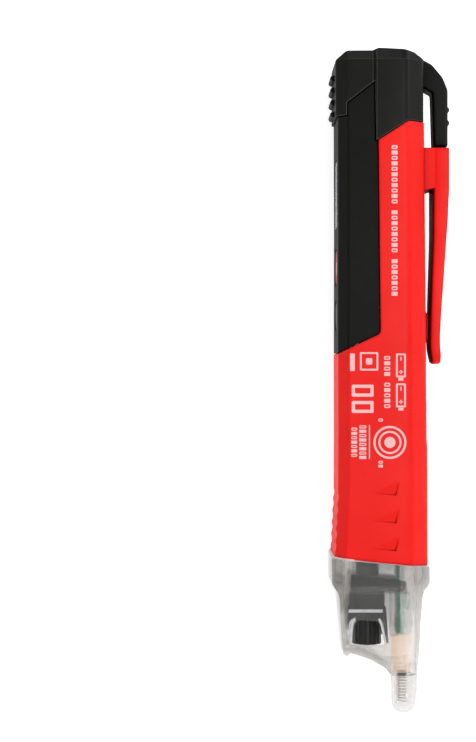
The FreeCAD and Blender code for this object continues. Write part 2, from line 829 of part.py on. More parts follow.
def sensor_coil():
    return rod_t(COIL_RADIUS, COIL_U, COIL_END_T, 9.9).cut(rod_t(0.8, COIL_U, 0.0, 12.0))


def sensor_board():
    return box(SENSOR_FRONT, SENSOR_BACK, 19.6, SENSOR_END_T, -SENSOR_HALF, SENSOR_HALF)


# ---- main board and what is on it ------------------------------------------------------------

def main_board():
    outline = [
        (-MAIN_HALF, MAIN_START_T, 1.0),
        (MAIN_HALF, MAIN_START_T, 1.0),
        (MAIN_HALF, MAIN_END_T, 1.0),
        (-MAIN_HALF, MAIN_END_T, 1.0),
    ]
    board = front_slab(outline, MAIN_FRONT, MAIN_BACK)
    return cut_all(board, [rod_u(1.05, t, -10, 0) for t in SCREW_PLACES])


def controller_chip():
    return box(-7.9, MAIN_FRONT, 68.0, 75.0, -3.0, 3.0)


def board_components():
    """Small parts on the board's front: (t, w, length, width, height)."""
    places = [
        (52.0, -4.5, 2.0, 1.25, 0.6),
        (52.0, 3.5, 2.0, 1.25, 0.6),
        (56.5, -5.0, 3.2, 1.6, 1.1),
        (64.0, 5.0, 3.2, 1.6, 1.1),
        (80.0, -5.2, 2.0, 1.25, 0.6),
        (80.0, 4.4, 3.0, 2.8, 1.3),
        (84.5, -1.0, 2.0, 1.25, 0.6),
    ]
    return Part.makeCompound([
        box(MAIN_FRONT - height, MAIN_FRONT, t, t + length, w, w + width)
        for t, w, length, width, height in places
    ])


def header_offsets():
    return [PIN_PITCH * (index - 1.0) for index in range(3)]


def header_pins():
    return Part.makeCompound([rod_u(0.3, HEADER_T, MAIN_BACK, SENSOR_FRONT, w) for w in header_offsets()])


def header_blocks():
    blocks = []
    for u0, u1 in ((MAIN_BACK, MAIN_BACK + 2.0), (SENSOR_FRONT - 2.0, SENSOR_FRONT)):
        block = box(u0, u1, HEADER_T - 1.0, HEADER_T + 1.0, -3.1, 3.1)
        blocks.append(cut_all(block, [rod_u(0.3, HEADER_T, -10, 10, w) for w in header_offsets()]))
    return Part.makeCompound(blocks)


def buzzer():
    disc = rod_u(4.4, 45.0, 6.6, 8.7)
    return disc.cut(rod_u(0.8, 45.0, 7.7, 9.5))


def board_screws():
    screws = []
    for t in SCREW_PLACES:
        head = rod_u(1.8, t, MAIN_FRONT - 1.0, MAIN_FRONT)
        shank = rod_u(0.95, t, MAIN_FRONT, CELL_U - CRADLE_OUTER + 0.4)
        slot = box(MAIN_FRONT - 1.2, MAIN_FRONT - 0.5, t - 1.4, t + 1.4, -0.25, 0.25)
        cross = box(MAIN_FRONT - 1.2, MAIN_FRONT - 0.5, t - 0.25, t + 0.25, -1.4, 1.4)
        screws.append(cut_all(fused([head, shank]), [slot, cross]))
    return Part.makeCompound(screws)


# ---- batteries and contacts ------------------------------------------------------------------

def cell(index):
    start = CELL_START_T + index * CELL_LENGTH
    can = rod_t(CELL_RADIUS, CELL_U, start + CELL_NUB, start + CELL_LENGTH)
    rims = [edge for edge in can.Edges if edge.BoundBox.YLength < 0.01]
    can = can.makeFillet(0.4, rims)
    return fused([can, rod_t(CELL_NUB_RADIUS, CELL_U, start, start + CELL_NUB)])


def battery_cradle():
    trough = rod_t(CRADLE_OUTER, CELL_U, CRADLE_START_T, CRADLE_END_T)
    trough = trough.cut(rod_t(CRADLE_INNER, CELL_U, CELL_START_T - CONTACT_THICK, 150.0))
    trough = trough.cut(box(CELL_U, 20, CELL_START_T + 1, 150, -20, 20))
    parts = [trough]
    for t in SCREW_PLACES:
        parts.append(rod_u(2.4, t, MAIN_BACK, CELL_U - CRADLE_OUTER + 0.5))
        for side in (-1, 1):
            near = side * (CRADLE_OUTER - 0.3)
            far = side * (HOUSING_HALF - WALL - 0.05)
            parts.append(box(CELL_U - 1.2, CELL_U, t - 2, t + 2, min(near, far), max(near, far)))
    whole = fused(parts)
    holes = [rod_u(0.95, t, -10, CELL_U - CRADLE_OUTER + 0.4) for t in SCREW_PLACES]
    lead_way = box(-7.0, 0.0, 51.2, CELL_START_T + 0.15, -2.15, 2.15)
    return cut_all(whole, holes + [lead_way])


def front_contact():
    plate = rod_t(4.6, CELL_U, CELL_START_T - CONTACT_THICK, CELL_START_T)
    leg = box(MAIN_BACK, 0.0, CELL_START_T - CONTACT_THICK, CELL_START_T, -2.0, 2.0)
    return fused([plate, leg])


def battery_strip():
    points = [(MAIN_BACK, 66.0), (0.3, 66.0), (0.3, 141.5), (-1.3, 141.5), (-1.3, 70.0), (MAIN_BACK, 70.0)]
    return side_slab(plain(points), 6.9, 7.2)


# ---- all parts, by node ----------------------------------------------------------------------

def all_parts():
    return {
        "rear_housing": rear_housing(),
        "front_cover": front_cover(),
        "battery_cap": battery_cap(),
        "clip_arm": clip_arm(),
        "nose_lens": nose_lens(),
        "sensor_tip": sensor_tip(),
        "nose_seal": nose_seal(),
        "cap_seal": cap_seal_ring(CAP_SEAL_DEPTH - 0.02),
        "torch_holder": torch_holder(),
        "torch_led": torch_led(),
        "torch_leads": torch_leads(),
        "torch_reflector": torch_reflector(),
        "torch_lens": torch_lens(),
        "alarm_led": alarm_led(),
        "sensor_coil": sensor_coil(),
        "sensor_board": sensor_board(),
        "main_board": main_board(),
        "controller_chip": controller_chip(),
        "board_components": board_components(),
        "header_pins": header_pins(),
        "header_blocks": header_blocks(),
        "buzzer": buzzer(),
        "board_screws": board_screws(),
        "tact_switches": tact_switches(),
        "power_plunger": plunger(POWER_T),
        "torch_plunger": plunger(TORCH_BUTTON_T),
        "power_button": button(POWER_T, POWER_RADIUS),
        "torch_button": button(TORCH_BUTTON_T, TORCH_BUTTON_RADIUS),
        "display_window": display_window(),
        "display_module": display_module(),
        "battery_cradle": battery_cradle(),
        "battery_front": cell(0),
        "battery_rear": cell(1),
        "front_contact": front_contact(),
        "battery_strip": battery_strip(),
        "cap_contact": cap_contact(),
        "cap_spring": cap_spring(),
    }


def write_parts():
    os.makedirs("parts", exist_ok=True)
    middle_u = (RIB_FRONT + HOOK_RIB_BACK) / 2.0
    to_row = Vector(-middle_u, -LENGTH / 2.0, COLLAR_HALF)
    for name, shape in all_parts().items():
        shape.translate(to_row)
        shape.exportStep("parts/" + name + ".step")
        size = shape.BoundBox
        print(name, shape.ShapeType, len(shape.Solids), shape.isValid(), round(shape.Volume, 1),
              [round(v, 2) for v in (size.XMin, size.XMax, size.YMin, size.YMax, size.ZMin, size.ZMax)])


write_parts()
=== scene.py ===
"""Looks of the non contact voltage tester: materials, side print, button marks, coils, clip skin, stage."""

import json
import math

import bmesh
import bpy
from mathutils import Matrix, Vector


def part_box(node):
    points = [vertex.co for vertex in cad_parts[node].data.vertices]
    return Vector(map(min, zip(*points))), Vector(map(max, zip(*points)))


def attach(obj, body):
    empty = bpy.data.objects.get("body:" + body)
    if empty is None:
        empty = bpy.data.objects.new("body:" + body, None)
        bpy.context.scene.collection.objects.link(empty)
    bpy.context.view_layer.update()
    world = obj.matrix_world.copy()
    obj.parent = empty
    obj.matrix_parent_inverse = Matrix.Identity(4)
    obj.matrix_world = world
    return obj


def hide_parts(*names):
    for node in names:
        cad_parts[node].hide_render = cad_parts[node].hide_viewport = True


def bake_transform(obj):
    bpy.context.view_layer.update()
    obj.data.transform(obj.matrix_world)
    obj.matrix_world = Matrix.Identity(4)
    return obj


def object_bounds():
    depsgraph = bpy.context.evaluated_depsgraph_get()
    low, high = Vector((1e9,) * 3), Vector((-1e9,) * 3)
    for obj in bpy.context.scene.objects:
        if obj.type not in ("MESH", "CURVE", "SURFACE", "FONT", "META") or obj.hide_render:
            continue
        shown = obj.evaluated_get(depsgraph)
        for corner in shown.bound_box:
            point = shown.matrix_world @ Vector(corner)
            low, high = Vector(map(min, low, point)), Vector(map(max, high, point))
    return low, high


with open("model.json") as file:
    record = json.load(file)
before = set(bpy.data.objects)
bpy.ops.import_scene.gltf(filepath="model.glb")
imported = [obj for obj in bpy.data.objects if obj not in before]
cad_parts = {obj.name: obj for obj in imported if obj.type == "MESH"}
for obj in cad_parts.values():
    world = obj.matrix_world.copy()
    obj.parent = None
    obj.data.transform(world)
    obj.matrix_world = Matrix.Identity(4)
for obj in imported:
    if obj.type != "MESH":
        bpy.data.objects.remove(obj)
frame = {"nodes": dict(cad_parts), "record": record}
nodes = frame["nodes"]
cad_low, cad_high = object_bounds()

MM = 0.001

# ---- places, all from the frame ---------------------------------------------------------------

RIB_REACH = 12.05           # mm from the body's axis forwards to the cap's front ribs

collar_low, collar_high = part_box("nose_lens")
MID_Z = (collar_low.z + collar_high.z) / 2.0
TIP_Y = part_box("sensor_tip")[0].y
BODY_X = cad_low.x + RIB_REACH * MM
SIDE_W = (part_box("rear_housing")[1].z - MID_Z) / MM         # the flat of the side that faces up


def pen(u, t, w=0.0):
    """A point in metres from the pen's own measures in mm: u towards the clip, t from the tip, w up."""
    return Vector((BODY_X + u * MM, TIP_Y + t * MM, MID_Z + w * MM))


def pen_box(node):
    """A node's lowest and highest (u, t) in the pen's own measures."""
    return [((corner.x - BODY_X) / MM, (corner.y - TIP_Y) / MM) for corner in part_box(node)]


# ---- material helpers -------------------------------------------------------------------------

NOISE_ROUGHNESS = 0.55
BEVEL_SAMPLES = 6
# painted shade: moulded colours darken where the surface is shut in, in seams, pockets and narrow gaps
SHADE_SAMPLES = 8
SHADE_REACH = 6.0           # mm
SHADE_LOWEST = 0.12         # share of the colour that is left in the narrowest gaps
SHADE_FULL = 0.30           # openness at which the shade is full
SHADE_NONE = 0.85           # openness at which it is gone
GLOSS_FADE = 0.35
# the painted highlight along sharp edges: how far from an edge it reaches, and the turns at which it starts
# and is full
EDGE_REACH = 0.35           # mm
EDGE_START = 0.998          # cosine of the turn at which an edge starts to pale
EDGE_FULL = 0.95            # cosine of the turn at which it is palest
CROWN_START = 0.4           # mm from the body's axis
CROWN_WIDTH = 5.8
CROWN_FALL = 15.0           # per metre: tilts the face by 10 degrees at its edge
CROWN_UNIT = 1000.0         # mm, as the crown's height is in metres
WHITE = (1.0, 1.0, 1.0)


class Paint:
    """A material being built: its node tree, its shader, and short ways to add nodes."""

    def __init__(self, name):
        self.material = bpy.data.materials.new(name)
        self.material.use_nodes = True
        self.nodes = self.material.node_tree.nodes
        self.links = self.material.node_tree.links
        self.shader = self.nodes["Principled BSDF"]
        self.place = self.nodes.new("ShaderNodeTexCoord").outputs["Object"]

    def set(self, **values):
        for name, value in values.items():
            self.shader.inputs[name.replace("_", " ")].default_value = value

    def connect(self, source, name):
        self.links.new(source, self.shader.inputs[name])

    def noise(self, scale, detail=3.0, stretch=None):
        node = self.nodes.new("ShaderNodeTexNoise")
        node.inputs["Scale"].default_value = scale
        node.inputs["Detail"].default_value = detail
        node.inputs["Roughness"].default_value = NOISE_ROUGHNESS
        self.links.new(self.stretched(stretch), node.inputs["Vector"])
        return node.outputs["Fac"]

    def stretched(self, stretch):
        if stretch is None:
            return self.place
        node = self.nodes.new("ShaderNodeMapping")
        node.inputs["Scale"].default_value = stretch
        self.links.new(self.place, node.inputs["Vector"])
        return node.outputs["Vector"]

    def split(self):
        """The separate coordinates of the point that is being shaded."""
        node = self.nodes.new("ShaderNodeSeparateXYZ")
        self.links.new(self.place, node.inputs["Vector"])
        return node.outputs

    def ramp(self, source, stops):
        node = self.nodes.new("ShaderNodeValToRGB")
        for end, (place, colour) in zip(node.color_ramp.elements, stops):
            end.position = place
            end.color = (*colour, 1.0)
        self.links.new(source, node.inputs["Fac"])
        return node.outputs["Color"]

    def spread(self, source, low, high):
        """A value from 0 to 1, spread from low to high."""
        node = self.nodes.new("ShaderNodeMapRange")
        node.inputs["To Min"].default_value = low
        node.inputs["To Max"].default_value = high
        self.links.new(source, node.inputs["Value"])
        return node.outputs["Result"]

    def math(self, operation, first, second):
        """Works on a socket and a number, or on two sockets."""
        node = self.nodes.new("ShaderNodeMath")
        node.operation = operation
        self.links.new(first, node.inputs[0])
        if isinstance(second, float):
            node.inputs[1].default_value = second
        else:
            self.links.new(second, node.inputs[1])
        return node.outputs["Value"]

    def openness(self):
        """One on open faces, less in seams, pockets and narrow gaps."""
        node = self.nodes.new("ShaderNodeAmbientOcclusion")
        node.samples = SHADE_SAMPLES
        node.inputs["Distance"].default_value = SHADE_REACH * MM
        return node.outputs["AO"]

    def painted_shade(self, colour, openness):
        """The colour with painted shade, darker where the surface is shut in."""
        lowest = (SHADE_LOWEST, SHADE_LOWEST, SHADE_LOWEST)
        node = self.nodes.new("ShaderNodeMix")
        node.data_type = "RGBA"
        node.blend_type = "MULTIPLY"
        node.inputs["Factor"].default_value = 1.0
        self.links.new(colour, node.inputs["A"])
        self.links.new(self.ramp(openness, [(SHADE_FULL, lowest), (SHADE_NONE, WHITE)]), node.inputs["B"])
        return node.outputs["Result"]

    def soft_gloss(self, openness, gloss):
        """Gloss that fades at grazing angles and where the surface is shut in."""
        rim = self.nodes.new("ShaderNodeLayerWeight")
        rim.inputs["Blend"].default_value = GLOSS_FADE
        return self.math("MULTIPLY", self.spread(rim.outputs["Facing"], gloss, 0.0), openness)

    def softened(self, reach):
        """The surface's direction, turned gradually within that reach of an edge."""
        node = self.nodes.new("ShaderNodeBevel")
        node.samples = BEVEL_SAMPLES
        node.inputs["Radius"].default_value = reach * MM
        return node.outputs["Normal"]

    def edges(self):
        """Zero on flat faces and one along sharp edges, from how far the softened direction turns."""
        true = self.nodes.new("ShaderNodeNewGeometry")
        turn = self.nodes.new("ShaderNodeVectorMath")
        turn.operation = "DOT_PRODUCT"
        self.links.new(self.softened(EDGE_REACH), turn.inputs[0])
        self.links.new(true.outputs["True Normal"], turn.inputs[1])
        node = self.nodes.new("ShaderNodeMapRange")
        node.inputs["From Min"].default_value = EDGE_START
        node.inputs["From Max"].default_value = EDGE_FULL
        self.links.new(turn.outputs["Value"], node.inputs["Value"])
        return node.outputs["Result"]

    def painted_edge_highlight(self, colour, edge_highlight_colour):
        """The colour, with a painted highlight in another colour along the sharp edges, where they catch the
        light.
        """
        node = self.nodes.new("ShaderNodeMix")
        node.data_type = "RGBA"
        self.links.new(self.edges(), node.inputs["Factor"])
        self.links.new(colour, node.inputs["A"])
        node.inputs["B"].default_value = (*edge_highlight_colour, 1.0)
        return node.outputs["Result"]

    def relief(self, sources, bevel):
        """Bumps from (height, strength, distance in mm) on top of edges softened by bevel mm."""
        normal = self.softened(bevel) if bevel else None
        for height, strength, distance in sources:
            node = self.nodes.new("ShaderNodeBump")
            node.inputs["Strength"].default_value = strength
            node.inputs["Distance"].default_value = distance * MM
            self.links.new(height, node.inputs["Height"])
            if normal is not None:
                self.links.new(normal, node.inputs["Normal"])
            normal = node.outputs["Normal"]
        self.connect(normal, "Normal")


def crown(paint):
    """Height of a side face that falls away towards its back edge, as moulded cases do."""
    reach = paint.math("SUBTRACT", paint.split()["X"], BODY_X + CROWN_START * MM)
    reach = paint.math("MAXIMUM", reach, 0.0)
    reach = paint.math("MINIMUM", reach, CROWN_WIDTH * MM)
    return paint.math("MULTIPLY", paint.math("POWER", reach, 2.0), -CROWN_FALL)


def darker(colour, share):
    return tuple(channel * share for channel in colour)


# ---- kinds of material; scales are in noise cells per metre ------------------------------------

FLOW_SCALE = 60.0           # flow marks in moulded plastic
PATCH_SCALE = 220.0         # its patchy gloss
GRAIN_SCALE = 2600.0        # its spark texture
WAVE_SCALE = 90.0           # the slight unevenness of its faces
HAZE_SCALE = 140.0          # cloudiness of clear plastic
RIPPLE_SCALE = 180.0        # and the ripples on it
BRUSH_SCALE = 900.0
PLASTIC_IOR = 1.49
CLEAR_IOR = 1.5
THIN_WALL_IOR = 1.25        # bends light less, so that what is behind the nose isn't doubled
WALL_COLOUR = (0.82, 0.81, 0.80, 1.0)


def moulded(name, dark, light, rough, bevel=0.18, gloss=0.22, crowned_and_shaded=False, edge_highlight_colour=None):
    """Moulded plastic: faint flow marks in the colour, fine spark texture, patchy gloss; when asked, a
    painted highlight along sharp edges and painted shade in seams, pockets and gaps.
    """
    paint = Paint(name)
    colour = paint.ramp(paint.noise(FLOW_SCALE, 4.0), [(0.3, dark), (0.7, light)])
    # painted highlight along sharp edges
    if edge_highlight_colour:
        colour = paint.painted_edge_highlight(colour, edge_highlight_colour)
    if crowned_and_shaded:
        # painted shade in seams, pockets and gaps, such as between the clip and the body
        openness = paint.openness()
        colour = paint.painted_shade(colour, openness)
        paint.connect(paint.soft_gloss(openness, gloss), "Specular IOR Level")
    paint.connect(colour, "Base Color")
    paint.connect(paint.spread(paint.noise(PATCH_SCALE), rough - 0.05, rough + 0.07), "Roughness")
    bumps = [(paint.noise(GRAIN_SCALE, 2.0), 0.35, 0.02), (paint.noise(WAVE_SCALE, 2.0), 0.12, 0.06)]
    if crowned_and_shaded:
        bumps.append((crown(paint), 1.0, CROWN_UNIT))
    paint.relief(bumps, bevel)
    paint.set(IOR=PLASTIC_IOR, Specular_IOR_Level=gloss)
    return paint.material


def see_through(name, tint, alpha, rough, transmission, ior):
    """The paint of clear or smoked plastic with moulding ripples."""
    paint = Paint(name)
    haze = paint.noise(HAZE_SCALE)
    paint.connect(paint.ramp(haze, [(0.25, darker(tint, 0.94)), (0.75, tint)]), "Base Color")
    paint.connect(paint.spread(haze, rough, rough + 0.05), "Roughness")
    paint.relief([(paint.noise(RIPPLE_SCALE, 2.0), 0.15, 0.08)], 0.15)
    paint.set(IOR=ior, Transmission_Weight=transmission, Alpha=alpha)
    return paint


def clear(name, tint, alpha, rough, transmission=0.85):
    return see_through(name, tint, alpha, rough, transmission, CLEAR_IOR).material


def tinted(name, tint, alpha, rough, transmission, density):
    """Clear plastic that greys where light runs a long way through it, as along its walls."""
    paint = see_through(name, tint, alpha, rough, transmission, THIN_WALL_IOR)
    inside = paint.nodes.new("ShaderNodeVolumeAbsorption")
    inside.inputs["Color"].default_value = WALL_COLOUR
    inside.inputs["Density"].default_value = density
    paint.links.new(inside.outputs["Volume"], paint.nodes["Material Output"].inputs["Volume"])
    return paint.material


def metal(name, colour, rough, stretch=None):
    paint = Paint(name)
    brushed = paint.noise(BRUSH_SCALE, stretch=stretch)
    paint.connect(paint.ramp(brushed, [(0.3, darker(colour, 0.85)), (0.7, colour)]), "Base Color")
    paint.connect(paint.spread(brushed, rough * 0.8, rough * 1.3), "Roughness")
    paint.relief([(brushed, 0.2, 0.01)], 0.05)
    paint.set(Metallic=1.0)
    return paint.material


def glowing_led_material():
    """Milky epoxy with a painted glow: its emission stands in for the light that reaches it through the
    clear nose, so that it looks lit from inside.
    """
    paint = Paint("milky_led")
    cloud = paint.noise(260.0)
    paint.connect(paint.ramp(cloud, [(0.3, (0.86, 0.66, 0.52)), (0.7, (0.92, 0.76, 0.62))]), "Base Color")
    paint.connect(paint.spread(cloud, 0.3, 0.45), "Roughness")
    paint.relief([(paint.noise(500.0), 0.1, 0.02)], 0.1)
    # painted glow, in place of the light that reaches it through the nose
    paint.set(Emission_Color=(1.0, 0.78, 0.60, 1.0), Emission_Strength=0.50)
    return paint.material


def window_highlight_material():
    """A painted highlight for an edge of clear plastic, pale as with the light that runs along inside it."""
    paint = Paint("edge_pale")
    cloud = paint.noise(420.0)
    paint.connect(paint.ramp(cloud, [(0.3, (0.56, 0.56, 0.57)), (0.7, (0.66, 0.66, 0.67))]), "Base Color")
    paint.connect(paint.spread(cloud, 0.2, 0.35), "Roughness")
    paint.relief([(cloud, 0.1, 0.02)], 0.05)
    return paint.material


def board_material():
    """Green solder mask with faint traces under it."""
    paint = Paint("board_green")
    cells = paint.nodes.new("ShaderNodeTexVoronoi")
    cells.feature = "DISTANCE_TO_EDGE"
    cells.inputs["Scale"].default_value = 520.0
    paint.links.new(paint.place, cells.inputs["Vector"])
    traces = cells.outputs["Distance"]
    paint.connect(paint.ramp(traces, [(0.04, (0.10, 0.42, 0.24)), (0.09, (0.03, 0.24, 0.13))]), "Base Color")
    paint.relief([(traces, 0.3, 0.03)], 0.08)
    paint.set(Roughness=0.3)
    return paint.material


CELL_LENGTH = 44.5
JACKET_BAND = 22.0          # per metre: how fast the ramp between the two tones runs along a cell


def cell_material():
    """A plain two-tone battery jacket: a copper-coloured head and a dark wrap."""
    paint = Paint("cell_jacket")
    wave = paint.math("PINGPONG", paint.split()["Y"], CELL_LENGTH * MM)
    band = paint.spread(wave, 0.0, JACKET_BAND)
    paint.connect(paint.ramp(band, [(0.30, (0.62, 0.30, 0.12)), (0.32, (0.02, 0.03, 0.05))]), "Base Color")
    paint.connect(paint.spread(paint.noise(500.0), 0.22, 0.34), "Roughness")
    paint.relief([(paint.noise(700.0), 0.1, 0.02)], 0.1)
    paint.set(Metallic=0.6)
    return paint.material


def make_materials():
    return {
        # the red shell, the cover and the cap get painted shade in their seams, pockets and gaps
        "red_shell": moulded("red_shell", (0.82, 0.009, 0.006), (0.90, 0.014, 0.010), 0.40,
                             bevel=0.8, gloss=0.13, crowned_and_shaded=True),
        "black_cover": moulded("black_cover", (0.0040, 0.0040, 0.0036), (0.0058, 0.0058, 0.0052), 0.46,
                               gloss=0.1, crowned_and_shaded=True),
        # the cap's paler edges are a painted highlight
        "black_cap": moulded("black_cap", (0.0030, 0.0030, 0.0027), (0.0050, 0.0050, 0.0045), 0.46,
                             bevel=0.5, gloss=0.16, crowned_and_shaded=True, edge_highlight_colour=(0.085, 0.085, 0.081)),
        "clear_nose": tinted("clear_nose", (0.80, 0.795, 0.785), 0.55, 0.04, 0.90, 300.0),
        "milky_tip": tinted("milky_tip", (0.92, 0.915, 0.92), 0.36, 0.06, 0.70, 440.0),
        "seal": moulded("seal", (0.62, 0.50, 0.50), (0.74, 0.62, 0.62), 0.45),
        "black_rubber": moulded("black_rubber", (0.012, 0.012, 0.012), (0.02, 0.02, 0.02), 0.6),
        "torch_black": moulded("torch_black", (0.010, 0.010, 0.010), (0.018, 0.018, 0.017), 0.38, gloss=0.5),
        "led_clear": clear("led_clear", (0.95, 0.96, 0.97), 0.55, 0.03),
        "tinned_wire": metal("tinned_wire", (0.72, 0.72, 0.71), 0.25),
        "reflector": metal("reflector", (0.92, 0.92, 0.93), 0.08),
        # the LED's glow is painted
        "milky_led": glowing_led_material(),
        "gold_wire": metal("gold_wire", (0.46, 0.33, 0.16), 0.3),
        "board_green": board_material(),
        "chip_black": moulded("chip_black", (0.012, 0.012, 0.013), (0.02, 0.02, 0.02), 0.5),
        "component_tan": moulded("component_tan", (0.50, 0.38, 0.25), (0.60, 0.48, 0.34), 0.5),
        "buzzer_black": moulded("buzzer_black", (0.012, 0.012, 0.012), (0.02, 0.02, 0.02), 0.45),
        "steel": metal("steel", (0.62, 0.62, 0.61), 0.3),
        "switch_body": metal("switch_body", (0.66, 0.66, 0.64), 0.35, stretch=(1, 12, 1)),
        "button_red": moulded("button_red", (0.42, 0.010, 0.008), (0.50, 0.016, 0.012), 0.5),
        "button_grey": moulded("button_grey", (0.10, 0.10, 0.10), (0.13, 0.13, 0.13), 0.5),
        "window_clear": clear("window_clear", (0.35, 0.37, 0.38), 0.5, 0.02),
        "display_face": moulded("display_face", (0.03, 0.035, 0.034), (0.04, 0.045, 0.044), 0.25),
        "cradle_black": moulded("cradle_black", (0.02, 0.02, 0.02), (0.03, 0.03, 0.03), 0.5),
        "cell_jacket": cell_material(),
        "nickel": metal("nickel", (0.74, 0.72, 0.68), 0.2),
        "print_pale": moulded("print_pale", (0.86, 0.50, 0.50), (0.92, 0.58, 0.58), 0.55, bevel=0.0),
        "mark_white": moulded("mark_white", (0.78, 0.78, 0.76), (0.86, 0.86, 0.84), 0.5, bevel=0.0),
        "bar_green": moulded("bar_green", (0.10, 0.62, 0.16), (0.16, 0.74, 0.22), 0.35, bevel=0.0),
        # painted highlight for the window's edges
        "edge_pale": window_highlight_material(),
        # smoky plates that grey the nose
        "plate_smoke": clear("plate_smoke", (0.30, 0.33, 0.30), 0.22, 0.2, 0.4),
        "joint_smoke": clear("joint_smoke", (0.26, 0.26, 0.27), 0.55, 0.2, 0.3),
        "ferrule_dark": metal("ferrule_dark", (0.16, 0.14, 0.11), 0.4),
    }


def paint_cad():
    for part in frame["record"]["subparts"]:
        node = nodes[part["node"]]
        node.data.materials.clear()
        node.data.materials.append(materials[part["material_slot"]])


# ---- mesh helpers; their radii and widths are in mm ---------------------------------------------

WIRE_SIDES = 8
HELIX_STEPS = 16            # per turn
CRINKLES = 5.3              # per turn
CORNER_STEPS = 3            # per rounded corner of a rectangle
ARC_STEPS = 5               # per arc of a rounded loop


def make_piece(name, bm, material, body):
    """A finished mesh that takes its finish from the slot its material is named after."""
    bmesh.ops.recalc_face_normals(bm, faces=bm.faces)
    mesh = bpy.data.meshes.new(name)
    bm.to_mesh(mesh)
    bm.free()
    mesh.materials.append(materials[material])
    piece = bpy.data.objects.new(name, mesh)
    bpy.context.collection.objects.link(piece)
    if body:
        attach(piece, body)
    return piece


def smooth(piece):
    for face in piece.data.polygons:
        face.use_smooth = True
    return piece


def bridge(bm, lower, upper):
    """The walls between two rings of as many points."""
    count = len(lower)
    for index in range(count):
        after = (index + 1) % count
        bm.faces.new((lower[index], lower[after], upper[after], upper[index]))


def skin_rings(bm, rings):
    """A closed skin over rings of points, with its two ends capped."""
    made = [[bm.verts.new(point) for point in ring] for ring in rings]
    for lower, upper in zip(made, made[1:]):
        bridge(bm, lower, upper)
    bm.faces.new(list(reversed(made[0])))
    bm.faces.new(made[-1])


def angles_round(count):
    return [2.0 * math.pi * index / count for index in range(count)]


def round_ring(centre, across, other, radius, sides):
    """Points round a centre, in the plane of two directions."""
    reach = radius * MM
    return [centre + reach * (math.cos(a) * across + math.sin(a) * other) for a in angles_round(sides)]


def tube(bm, points, radius):
    """A closed round wire along points."""
    rings = []
    across = (points[1] - points[0]).orthogonal()
    for index, point in enumerate(points):
        ahead = points[min(index + 1, len(points) - 1)] - points[max(index - 1, 0)]
        ahead.normalize()
        across = (across - ahead * across.dot(ahead)).normalized()
        rings.append(round_ring(point, across, ahead.cross(across), radius, WIRE_SIDES))
    skin_rings(bm, rings)


def lathe(bm, origin, along, profile, sides):
    """A closed turned shape; profile is (distance along, radius), from one end to the other."""
    across = along.orthogonal().normalized()
    other = along.cross(across)
    rings = []
    for distance, radius in profile:
        rings.append(round_ring(origin + along * distance * MM, across, other, radius, sides))
    skin_rings(bm, rings)


def helix(u, t0, t1, turns, r0, r1, wobble=0.0):
    """Points of a coil round the pen's length; wobble crinkles it."""
    count = int(turns * HELIX_STEPS)
    points = []
    for index in range(count + 1):
        part = index / count
        angle = 2.0 * math.pi * turns * part
        radius = r0 + (r1 - r0) * part + wobble * math.sin(CRINKLES * angle)
        points.append(pen(u + radius * math.cos(angle), t0 + (t1 - t0) * part, radius * math.sin(angle)))
    return points


def rectangle(a0, a1, b0, b1, radius=0.12):
    """A loop with rounded corners."""
    loop = []
    corners = [(a1, b1, 0), (a0, b1, 90), (a0, b0, 180), (a1, b0, 270)]
    for a, b, start in corners:
        centre_a = a - radius if a == a1 else a + radius
        centre_b = b - radius if b == b1 else b + radius
        for step in range(CORNER_STEPS + 1):
            angle = math.radians(start + 90 * step / CORNER_STEPS)
            loop.append((centre_a + radius * math.cos(angle), centre_b + radius * math.sin(angle)))
    return loop


def rounded(corners):
    """A loop through (a, b, radius) corners, each turned with an arc."""
    loop = []
    for index, (a, b, radius) in enumerate(corners):
        corner = Vector((a, b))
        before = (Vector(corners[index - 1][:2]) - corner).normalized()
        after = (Vector(corners[(index + 1) % len(corners)][:2]) - corner).normalized()
        half_angle = before.angle(after) / 2.0
        centre = corner + (before + after).normalized() * (radius / math.sin(half_angle))
        start = corner + before * (radius / math.tan(half_angle)) - centre
        end = corner + after * (radius / math.tan(half_angle)) - centre
        for step in range(ARC_STEPS + 1):
            point = centre + start.slerp(end, step / ARC_STEPS)
            loop.append((point.x, point.y))
    return loop


def circle(a, b, radius, count=48):
    return [(a + radius * math.cos(angle), b + radius * math.sin(angle)) for angle in angles_round(count)]


def stroke(points, width):
    """A loop round an open line of points."""
    left = []
    right = []
    for index, (a, b) in enumerate(points):
        a0, b0 = points[max(index - 1, 0)]
        a1, b1 = points[min(index + 1, len(points) - 1)]
        length = math.hypot(a1 - a0, b1 - b0)
        across = (-(b1 - b0) / length * width / 2.0, (a1 - a0) / length * width / 2.0)
        left.append((a + across[0], b + across[1]))
        right.append((a - across[0], b - across[1]))
    return left + right[::-1]


def slab(bm, loop, place, low, high):
    """A thin closed plate with the loop as its outline."""
    skin_rings(bm, [[place(a, b, low) for a, b in loop], [place(a, b, high) for a, b in loop]])


def hoop(bm, outer, inner, place, low, high):
    """A thin closed plate with a hole; both loops have as many points."""
    loops = []
    for loop, height in ((outer, low), (outer, high), (inner, high), (inner, low)):
        loops.append([bm.verts.new(place(a, b, height)) for a, b in loop])
    for index in range(4):
        bridge(bm, loops[index], loops[(index + 1) % 4])


def beside(side):
    """Places points at a height from the mid-plane, on the side that faces up (1) or down (-1)."""
    def place(u, t, height):
        return pen(u, t, side * height)

    return place


# ---- side print: plain shapes where the original has lettering and marks ----------------------

